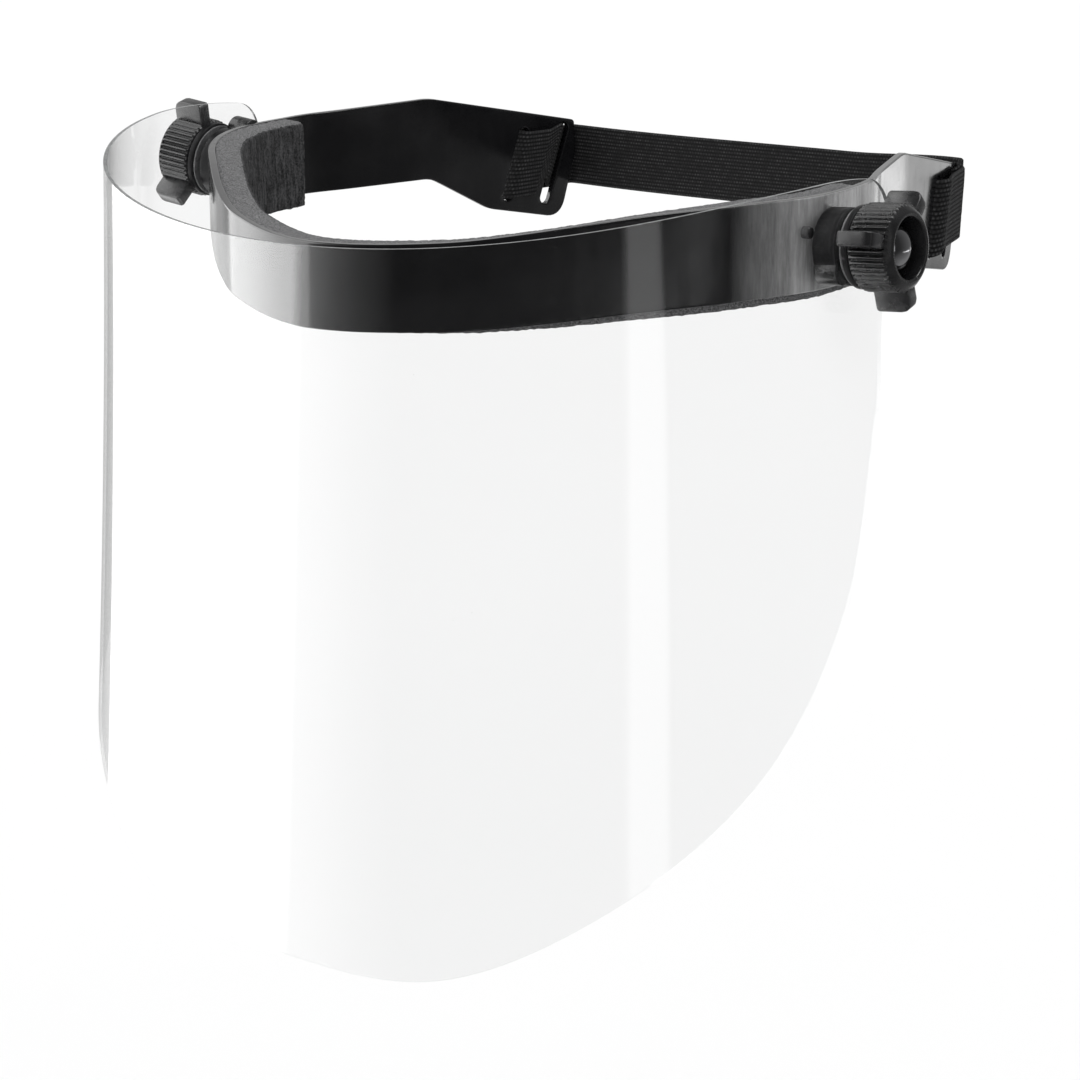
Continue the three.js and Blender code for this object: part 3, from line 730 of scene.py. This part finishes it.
def build_band():
    """The side view extruded flat, cut across every 2 mm, then wrapped round the plan."""
    curve = bpy.data.curves.new("band_outline", "CURVE")
    curve.dimensions = "2D"
    curve.fill_mode = "BOTH"
    edge = 0.45
    curve.extrude = (BAND_THICK / 2 - edge) * MM
    curve.bevel_depth = edge * MM
    curve.bevel_resolution = 2
    curve.offset = -edge * MM

    def add(points):
        spline = curve.splines.new("POLY")
        spline.points.add(len(points) - 1)
        for slot, p in zip(spline.points, points):
            slot.co = (p.x * MM, p.y * MM, 0, 1)
        spline.use_cyclic_u = True

    half = [Vector((run_at(p.x), p.y)) for p in band_outline(LEFT_TOP)]
    mirrored = [Vector((-run_at(p.x), p.y)) for p in reversed(band_outline(RIGHT_TOP))]
    add(half[1:-1] + mirrored[:1] + mirrored[1:-1] + half[:1])
    for sign in (1, -1):
        for middle, low in SLOTS:
            hole = [Vector((sign * run_at(p.x), p.y)) for p in slot_outline(middle, low)]
            add(hole)
    holder = bpy.data.objects.new("band_outline", curve)
    bpy.context.scene.collection.objects.link(holder)
    bpy.context.view_layer.update()
    depsgraph = bpy.context.evaluated_depsgraph_get()
    mesh = bpy.data.meshes.new_from_object(holder.evaluated_get(depsgraph))
    bpy.data.objects.remove(holder)
    bm = bmesh.new()
    bm.from_mesh(mesh)
    bmesh.ops.remove_doubles(bm, verts=bm.verts, dist=2e-6)
    reach = int(PLAN_U[-1])
    for cut in range(-reach, reach + 1, 2):
        geometry = bm.verts[:] + bm.edges[:] + bm.faces[:]
        bmesh.ops.bisect_plane(bm, geom=geometry, dist=1e-7,
                               plane_co=(cut * MM, 0, 0), plane_no=(1, 0, 0))
    for vertex in bm.verts:
        u, z, depth = vertex.co.x / MM, vertex.co.y / MM, vertex.co.z / MM
        point, inward = plan_frame(u)
        place = point + inward * (BAND_THICK / 2 - depth)
        vertex.co = Vector((place.x, place.y, z)) * MM
    bmesh.ops.recalc_face_normals(bm, faces=bm.faces)
    bm.to_mesh(mesh)
    bm.free()
    mesh.materials.clear()
    mesh.materials.append(GLOSS)
    obj = bpy.data.objects.new("headband_strip", mesh)
    bpy.context.scene.collection.objects.link(obj)
    smooth(obj, 50)
    weight = obj.modifiers.new("weighted", "WEIGHTED_NORMAL")
    weight.keep_sharp = True
    weight.weight = 90
    return finish_piece(obj, "headband", "headband")


build_band()

# ---- brow pad ----

FOAM_THICK = 8.0
FOAM_END_Y = 18
FOAM_FRONT = 4.3
FOAM_LOW = (-19.3, -14.2)
POCKET_R = 7.8
POCKET_IN = 96


def foam_top(x, y):
    side = RIGHT_TOP + (LEFT_TOP - RIGHT_TOP) * smoothstep(x, -30, 30) - 0.2
    return FOAM_FRONT + (side - FOAM_FRONT) * smoothstep(y, -97, -18)


def foam_bottom(y):
    return FOAM_LOW[0] + (FOAM_LOW[1] - FOAM_LOW[0]) * smoothstep(y, -95, -12)


def build_pad():
    reach = run_at(FOAM_END_Y)
    stations = 620
    inner_rows, band_rows, cap = 34, 26, 9
    profile = []
    # across: 0 is the band side, 1 the head side; up: -1 bottom to 1 top
    for k in range(cap):
        profile.append((k / cap, 1, 0))
    for k in range(inner_rows):
        profile.append((1, 1 - 2 * k / inner_rows, 1))
    for k in range(cap):
        profile.append((1 - k / cap, -1, 0))
    for k in range(band_rows):
        profile.append((0, -1 + 2 * k / band_rows, 0))
    vertices, faces, slots = [], [], []
    count = len(profile)
    for i in range(stations + 1):
        u = -reach + 2 * reach * i / stations
        point, inward = plan_frame(u)
        y = point.y
        top, low = foam_top(point.x, y), foam_bottom(y)
        near_end = smoothstep(abs(u), reach - 6, reach)
        for across, up, _ in profile:
            z = low + (top - low) * (up + 1) / 2
            depth = across
            corner = max(abs(up) - 0.9, 0) / 0.1
            round_in = 0.7 * corner * corner * across ** 4
            crown = 0.25 * (1 - up * up) * across
            z -= math.copysign(0.55 * across ** 6, up) * (1 if abs(up) == 1 else 0)
            inset = BAND_THICK + GAP + depth * FOAM_THICK - round_in + crown - 0.25
            place = point + inward * inset
            seed = Vector((place.x, place.y, z)) * 0.9
            rough = noise.noise(seed * 0.8) * 0.22 + noise.noise(seed * 2.3) * 0.1
            torn = noise.noise(Vector((0, z * 0.55, depth * 3.1)) + Vector((u > 0, 0, 0)))
            ragged = near_end * torn * 1.1
            tangent = Vector((inward.y, -inward.x)) * (1 if u > 0 else -1)
            if across > 0.05:
                place = place - inward * rough * across
            place = place - tangent * abs(ragged)
            if across == 0 and math.hypot(place.y, z) < POCKET_R:
                place.x = math.copysign(min(abs(place.x), POCKET_IN), place.x)
            vertices.append(Vector((place.x, place.y, z + rough * (1 if abs(up) == 1 else 0))))
    for i in range(stations):
        for k in range(count):
            m = (k + 1) % count
            faces.append((i * count + k, i * count + m, (i + 1) * count + m, (i + 1) * count + k))
            slots.append(profile[k][2])
    for base, flip in ((0, False), (stations * count, True)):
        ring = [base + k for k in range(count)]
        faces.append(tuple(reversed(ring)) if flip else tuple(ring))
        slots.append(0)
    obj = make_object("brow_pad_foam", vertices, faces, [FOAM_CUT, FOAM_SKIN], slots)
    smooth(obj, 50)
    finish_piece(obj, "headband", "brow_pad")
    return obj


build_pad()

# ---- strap ----

STRAP_WIDTH = 20
STRAP_THICK = 1.1
STRAP_MID_Z = -10.8
STRAP_BACK_Y = 132
STRAP_END_Y = 127
# how far the tail runs inwards for each unit it runs back
TAIL_LEAN = 0.243
# keeps the weave's place across the strap above zero
WEAVE_SHIFT = 30


def strap_path():
    """Half of the strap's centre line from above: the back, the tail, the slots and the free end."""
    start = PLAN[PLAN_STEPS]
    forward = (start - TAIL_END).normalized()
    outward = Vector((-forward.y, forward.x))
    if outward.x < 0:
        outward.negate()

    def on_tail(y, out):
        return TAIL_END + forward * ((y - TAIL_END.y) / forward.y) + outward * out

    outside = GAP + STRAP_THICK / 2
    inside = -(BAND_THICK + outside)
    over = outside + STRAP_THICK + GAP
    middle = -BAND_THICK / 2
    return [
        Vector((0, STRAP_BACK_Y)), Vector((58, STRAP_BACK_Y)), Vector((70.5, STRAP_BACK_Y + 0.1)),
        on_tail(131.4, outside + 0.1), on_tail(128.5, outside), on_tail(REAR_SLOT_Y + 2.6, outside),
        on_tail(REAR_SLOT_Y, middle), on_tail(REAR_SLOT_Y - 2.6, inside),
        on_tail(FRONT_SLOT_Y + 2.4, inside), on_tail(FRONT_SLOT_Y + 0.2, middle),
        on_tail(FRONT_SLOT_Y - 0.2, outside), on_tail(FRONT_SLOT_Y + 2.4, over + 0.6),
        on_tail(FRONT_SLOT_Y + 8, over), on_tail(STRAP_END_Y, over),
    ]


def resample(points, step):
    runs = [0.0]
    for a, b in zip(points, points[1:]):
        runs.append(runs[-1] + (b - a).length)
    count = int(runs[-1] / step)
    xs = np.interp(np.linspace(0, runs[-1], count + 1), runs, [p.x for p in points])
    ys = np.interp(np.linspace(0, runs[-1], count + 1), runs, [p.y for p in points])
    return [Vector((x, y)) for x, y in zip(xs, ys)]


# upper and lower edge of the strap by distance from its free end
EDGE_RUN = (0, 17, 24, 28, 37, 41.5, 47, 400)
EDGE_TOP = (0.6, 0.4, -0.3, -0.6, -0.6, 0.8, -0.8, -0.8)
EDGE_LOW = (-21.4, -21.3, -22.9, -22.3, -22.0, -16.9, -20.8, -20.8)


def strap_height(from_end, x, v):
    """Height of the strand v across the strap, at a distance from its free end."""
    top = np.interp(from_end, EDGE_RUN, EDGE_TOP)
    low = np.interp(from_end, EDGE_RUN, EDGE_LOW)
    z = float(low + (top - low) * (v / STRAP_WIDTH + 0.5))
    past_slot = smoothstep(from_end, 43, 52)
    rise = 1.9 * smoothstep(x, -62, 66)
    if x > 0:
        rise += 1.6 * (1 - smoothstep(from_end, 58, 95))
    return z + rise * past_slot


def build_strap():
    half = resample(uniform_catmull(strap_path(), 24), 0.8)
    line = [Vector((-p.x, p.y)) for p in reversed(half[1:])] + half
    rows = 40
    vertices, faces, uvs = [], [], []
    ring = []
    edge = STRAP_THICK / 2
    for k in range(rows + 1):
        v = -STRAP_WIDTH / 2 + STRAP_WIDTH * k / rows
        ring.append((1, v))
    for k in range(rows + 1):
        v = STRAP_WIDTH / 2 - STRAP_WIDTH * k / rows
        ring.append((-1, v))
    count = len(ring)
    run = 0.0
    total = sum((b - a).length for a, b in zip(line, line[1:]))
    for i, p in enumerate(line):
        if i:
            run += (p - line[i - 1]).length
        a, b = line[max(i - 1, 0)], line[min(i + 1, len(line) - 1)]
        tangent = (b - a).normalized()
        normal = Vector((-tangent.y, tangent.x))
        from_end = min(run, total - run)
        for side, v in ring:
            thin = math.sqrt(max(1 - (max(abs(v) - STRAP_WIDTH / 2 + edge, 0) / edge) ** 2, 0.02))
            place = p + normal * side * edge * thin
            x, y = place.x, place.y
            z = strap_height(from_end, x, v)
            lean = 1 - smoothstep(y, 123.5, 131.5)
            shift = SLOT_SLANT * lean * (STRAP_MID_Z + v - SLOT_MID_Z)
            fray = 0.0
            if from_end < 1.2:
                fray = noise.noise(Vector((v * 1.7, i * 0.01, 3.0))) * 0.9 * (1 - from_end / 1.2)
            y += shift + fray
            x -= math.copysign(1, x) * (shift + fray) * TAIL_LEAN
            vertices.append(Vector((x, y, z)))
            uvs.append((run * MM, (v + WEAVE_SHIFT) * MM))
    for i in range(len(line) - 1):
        for k in range(count):
            m = (k + 1) % count
            faces.append((i * count + k, (i + 1) * count + k, (i + 1) * count + m, i * count + m))
    for base, flip in ((0, True), ((len(line) - 1) * count, False)):
        face = [base + k for k in range(count)]
        faces.append(tuple(reversed(face)) if flip else tuple(face))
    obj = make_object("strap_elastic", vertices, faces, [ELASTIC])
    layer = obj.data.uv_layers.new(name="weave")
    for loop in obj.data.loops:
        layer.data[loop.index].uv = uvs[loop.vertex_index]
    smooth(obj, 60)
    return finish_piece(obj, "headband", "strap"), total


strap, strap_length = build_strap()

# ---- clamp stacks ----

CLEAR_R = 2.85
KNOB_TEETH = 45
FLUTED_FROM = 9
WING_THICK = 4.0
WING_TURN = {"left": 43, "right": 103}
BOSS_AT = {"left": (-6.3, -5.3), "right": (5.8, 9.4)}


def fluted(teeth, depth, low, high, blend):
    """Rounded grooves down the knob's outer wall between two heights."""
    def shape(angle, r, z):
        level = smoothstep(z, low, low + blend) * (1 - smoothstep(z, high - blend, high))
        notch = 0.5 - 0.5 * math.cos(teeth * angle)
        return r - depth * level * notch if r > FLUTED_FROM else r
    return shape


def build_wing(side, sign, index, matrix):
    """One finger rib of the knob: a rounded plate standing out along the axis."""
    outline = [
        (9.9, 14.45), (17.4, 14.45), (18, 15.1), (18, 22.2), (17.7, 23.7), (16.8, 24.8),
        (15.2, 25.35), (9.9, 25.35),
    ]
    half = WING_THICK / 2
    turn = Matrix.Rotation(math.radians(WING_TURN[side] + 120 * index) * sign, 4, "Z")
    place = matrix @ turn
    vertices = [Vector((r, t, z)) for t in (-half, half) for r, z in outline]
    n = len(outline)
    faces = [tuple(range(n))[::-1], tuple(range(n, 2 * n))]
    faces += [(i, (i + 1) % n, n + (i + 1) % n, n + i) for i in range(n)]
    return [place @ v for v in vertices], faces


def join_meshes(name, parts, materials):
    """One object from several closed meshes, each (vertices, faces)."""
    vertices, faces = [], []
    for part_vertices, part_faces in parts:
        base = len(vertices)
        vertices += part_vertices
        faces += [tuple(base + i for i in face) for face in part_faces]
    return make_object(name, vertices, faces, materials)


def build_knob(side, sign):
    matrix = PIVOTS[sign]
    body = "knob_" + side
    profile = [
        (CLEAR_R, 14.3), (10.9, 14.3), (11.3, 14.4), (11.6, 14.65), (11.95, 14.9), (12, 15.2),
        (12, 17.5), (12, 19.5), (12, 21.5), (12, 23.3), (12, 24.2), (12, 24.7), (12, 25.1),
        (11.95, 25.3), (11.75, 25.55), (11.4, 25.85), (10.9, 26.3), (10.4, 26.75), (10.05, 27.0),
        (9.7, 27.2), (9.3, 27.3), (8.95, 27.27), (8.65, 27.12), (8.47, 26.88), (8.4, 26.5),
        (8.4, 23), (8.4, 20.0), (8.25, 19.65), (7.9, 19.5), (CLEAR_R, 19.5),
    ]
    shape = fluted(KNOB_TEETH, 0.85, 14.5, 25.75, 0.5)
    ring = lathe("knob_body_" + side, profile, KNOB_TEETH * 12, matrix, [SATIN],
                 shape=shape, degrees=32)
    finish_piece(ring, body, "knob_" + side)
    parts = [build_wing(side, sign, k, matrix) for k in range(3)]
    wings = join_meshes("knob_wings_" + side, parts, [SATIN])
    bevel = wings.modifiers.new("bevel", "BEVEL")
    bevel.width = 0.5 * MM
    bevel.segments = 3
    bevel.limit_method = "ANGLE"
    bevel.angle_limit = math.radians(20)
    bpy.context.view_layer.update()
    apply_modifiers(wings)
    smooth(wings, 35)
    finish_piece(wings, body, "knob_" + side)
    dome = [(7.2, 19.8), (7.2, 21.2), (7.05, 21.45), (6.75, 21.5), (6.7, 21.7)]
    turns = [math.pi / 2 * k / 18 for k in range(19)]
    dome += [(6.7 * math.cos(a), 21.9 + 4.5 * math.sin(a)) for a in turns]
    dome[-1] = (0.0, 26.4)
    nut = [Vector(p) for p in [(0, 19.8)] + dome]
    nut = lathe("cap_nut_" + side, nut, 64, matrix, [CHROME], closed=False)
    finish_piece(nut, body, "nut_" + side)


def build_stack(side, sign):
    matrix = PIVOTS[sign]
    collar = [(CLEAR_R, 12.3), (11.4, 12.3, 0.35), (11.4, 14.0, 0.35), (CLEAR_R, 14.0)]
    collar = rounded(collar, 0.3)
    obj = lathe("collar_ring_" + side, collar, 120, matrix, [DISC])
    finish_piece(obj, "collar_" + side, "collar_" + side)
    washer = [(CLEAR_R, 11.4), (10.8, 11.4, 0.25), (10.8, 12.0, 0.25), (CLEAR_R, 12.0)]
    washer = rounded(washer, 0.2)
    obj = lathe("washer_disc_" + side, washer, 120, matrix, [NYLON])
    finish_piece(obj, "visor", "washer_" + side)
    disc = [
        (CLEAR_R, 2.0), (5.2, 2.0), (5.5, 2.2), (5.5, 2.8), (10.1, 2.8), (10.45, 2.95),
        (10.6, 3.3), (10.6, 4.5), (10.6, 6.5), (10.6, 8.5), (10.6, 9.4), (10.45, 9.7),
        (10.1, 9.8), (CLEAR_R, 9.8),
    ]
    obj = lathe("spacer_disc_" + side, disc, 144, matrix, [DISC], degrees=35)
    finish_piece(obj, "visor", "spacer_" + side)
    boss = rounded([(1.7, 2.9, 0.2), (4.2, 2.9, 0.45), (4.2, 9.8), (1.7, 9.8)], 0.15)
    along, up = BOSS_AT[side]
    place = matrix @ Matrix.Translation(Vector((along, up * sign, 0)))
    obj = lathe("boss_ring_" + side, boss, 64, place, [SATIN])
    finish_piece(obj, "visor", "boss_" + side)
    low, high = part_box("peg_" + side)
    centre = (low + high) / 2 / MM
    length = (high.x - low.x) / MM
    radius = (high.z - low.z) / 2 / MM
    axis = Matrix.Rotation(math.radians(90) * sign, 4, "Y")
    place = Matrix.Translation(centre) @ axis
    peg = [(0, -length / 2), (radius, -length / 2), (radius, length / 2 - 0.4)]
    peg += [(radius - 0.12, length / 2 - 0.12), (radius - 0.4, length / 2), (0, length / 2)]
    obj = lathe("stop_peg_" + side, [Vector(p) for p in peg], 32, place, [SATIN], closed=False)
    finish_piece(obj, "headband", "peg_" + side)


for side, sign in SIDES:
    build_knob(side, sign)
    build_stack(side, sign)
    for name in ("bolt_", "inner_washer_"):
        node = frame["nodes"][name + side]
        node.data.materials.clear()
        node.data.materials.append(STEEL)

# ---- floor, world and lights ----

CENTRE = Vector((0, 0, -80)) * MM
FLOOR_DROP = 0.12
FLOOR_REACH = 12
WORLD_STRENGTH = 1.088


def pale_floor():
    s = Surface("pale_floor", (0.93, 0.93, 0.93), 0.9, Specular_IOR_Level=0.0)
    cloudy = s.remap(s.noise(3, 3), 0.3, 0.7, 0, 1)
    s.color(s.mix(cloudy, (0.925, 0.925, 0.925), (0.935, 0.935, 0.935)))
    return s.material


level = CAD_BOX[0][2] - FLOOR_DROP
around = ((-1, -1), (1, -1), (1, 1), (-1, 1))
corners = [(x * FLOOR_REACH, y * FLOOR_REACH, level) for x, y in around]
floor = make_object("floor", corners, [(0, 1, 2, 3)], [pale_floor()], scale=1)
floor.visible_glossy = False
floor.visible_shadow = False

world = bpy.data.worlds.new("studio")
bpy.context.scene.world = world
world.use_nodes = True
sky = world.node_tree.nodes["Background"].inputs
sky["Color"].default_value = (1, 1, 1, 1)
sky["Strength"].default_value = WORLD_STRENGTH
world.cycles_visibility.glossy = False


# soft panels all round, seen only in reflections: each stop is an azimuth in degrees from -Y
# towards +X, and the radiance there
PANEL_RADIUS = 2.6
PANEL_CENTRE_Z = -0.06
PANEL_BASE, PANEL_SPAN = -62, 118
PANEL_ROUND = (
    (-180, 0.7), (-108.0, 0.7), (-107.0, 3.2), (-60, 3.9), (-30.0, 3.9), (-29.2, 1.1),
    (-14, 0.34), (-4, 0.04), (60.2, 0.03), (61, 0.9), (70.2, 0.9), (71, 0.04),
    (95, 0.06), (150, 0.25), (180, 0.4),
)
PANEL_LOW = (
    (-180, 0.6), (-150, 0.6), (-120, 0), (118, 0), (128, 1.8), (144, 2.6),
    (151, 2.6), (158, 0.3), (180, 0.3),
)
PANEL_REAR = ((-180, 0.8), (-174, 0.8), (-164, 0), (158, 0), (166, 0.8), (180, 0.8))


class PanelNodes(NodeTree):
    """A material that only shines."""

    def __init__(self, name):
        super().__init__(name)
        self.nodes.remove(self.nodes["Principled BSDF"])

    def between(self, value, start, end):
        """0 at start to 1 at end, held beyond them."""
        return self.math("DIVIDE", self.math("SUBTRACT", value, start), end - start, True)

    def ramp(self, degrees, stops):
        """The radiance at an azimuth, from stops of azimuth and radiance."""
        peak = max(value for _, value in stops)
        node = self.nodes.new("ShaderNodeValToRGB")
        elements = node.color_ramp.elements
        while len(elements) > 1:
            elements.remove(elements[-1])
        for k, (azimuth, value) in enumerate(stops):
            place = (azimuth + 180) / 360
            element = elements[0] if k == 0 else elements.new(place)
            element.position = place
            element.color = (value / peak, value / peak, value / peak, 1)
        part = self.math("DIVIDE", self.math("ADD", degrees, 180), 360, True)
        self.links.new(part, node.inputs["Fac"])
        return self.math("MULTIPLY", node.outputs["Color"], peak)


def panel_ring():
    columns, rows = 144, 12
    vertices, faces = [], []
    for i in range(columns):
        a = 2 * math.pi * i / columns
        for j in range(rows + 1):
            e = math.radians(PANEL_BASE + PANEL_SPAN * j / rows)
            r = PANEL_RADIUS * math.cos(e)
            up = PANEL_RADIUS * math.sin(e) + PANEL_CENTRE_Z
            vertices.append((r * math.sin(a), -r * math.cos(a), up))
    for i in range(columns):
        m = (i + 1) % columns
        for j in range(rows):
            base, far = i * (rows + 1) + j, m * (rows + 1) + j
            faces.append((base, base + 1, far + 1, far))
    n = PanelNodes("soft_panels")
    x, y, z = n.split(n.nodes.new("ShaderNodeTexCoord").outputs["Object"])
    azimuth = n.math("MULTIPLY", n.math("ARCTAN2", x, n.math("MULTIPLY", y, -1)), 180 / math.pi)
    sine = n.math("DIVIDE", n.math("SUBTRACT", PANEL_CENTRE_Z, z), PANEL_RADIUS)
    drop = n.math("MULTIPLY", n.math("ARCSINE", sine), 180 / math.pi)
    # the upright edges of the panels lean, more so towards +X
    lean = n.math("ADD", n.math("MULTIPLY", azimuth, 0.0105), 1)
    reach = n.math("MAXIMUM", n.math("MINIMUM", n.math("SUBTRACT", drop, 8), 22), -6)
    leaning = n.math("ADD", azimuth, n.math("MULTIPLY", lean, reach))
    # the low and rear panels are bands below the horizon, in degrees
    low = n.math("MULTIPLY", n.between(drop, 7.4, 8.2), n.between(drop, 9.8, 9.1))
    rear = n.math("MULTIPLY", n.between(drop, 5.0, 7.0), n.between(drop, 10.5, 8.4))
    low = n.math("MULTIPLY", n.ramp(azimuth, PANEL_LOW), low)
    rear = n.math("MULTIPLY", n.ramp(azimuth, PANEL_REAR), rear)
    total = n.math("ADD", n.math("ADD", n.ramp(leaning, PANEL_ROUND), low), rear)
    emission = n.nodes.new("ShaderNodeEmission")
    n.links.new(total, emission.inputs["Strength"])
    n.links.new(emission.outputs["Emission"], n.nodes["Material Output"].inputs["Surface"])
    obj = make_object("soft_panels", vertices, faces, [n.material], scale=1)
    obj.visible_camera = False
    obj.visible_diffuse = False
    obj.visible_transmission = False
    obj.visible_shadow = False
    return obj


panel_ring()


def soft_lamp(name, location, size, power):
    data = bpy.data.lights.new(name, "AREA")
    data.shape = "DISK"
    data.size = size
    data.energy = power
    lamp = bpy.data.objects.new(name, data)
    lamp.location = location
    lamp.rotation_euler = (Vector(location) - CENTRE).to_track_quat("Z", "Y").to_euler()
    lamp.visible_camera = False
    lamp.visible_transmission = False
    bpy.context.scene.collection.objects.link(lamp)
    linked = bpy.data.collections.new(name + "_receivers")
    linked.objects.link(floor)
    lamp.light_linking.receiver_collection = linked
    linked.collection_objects[0].light_linking.link_state = "EXCLUDE"
    return lamp


soft_lamp("overhead", (0.3, 0.3, 1.5), 0.9, 14)
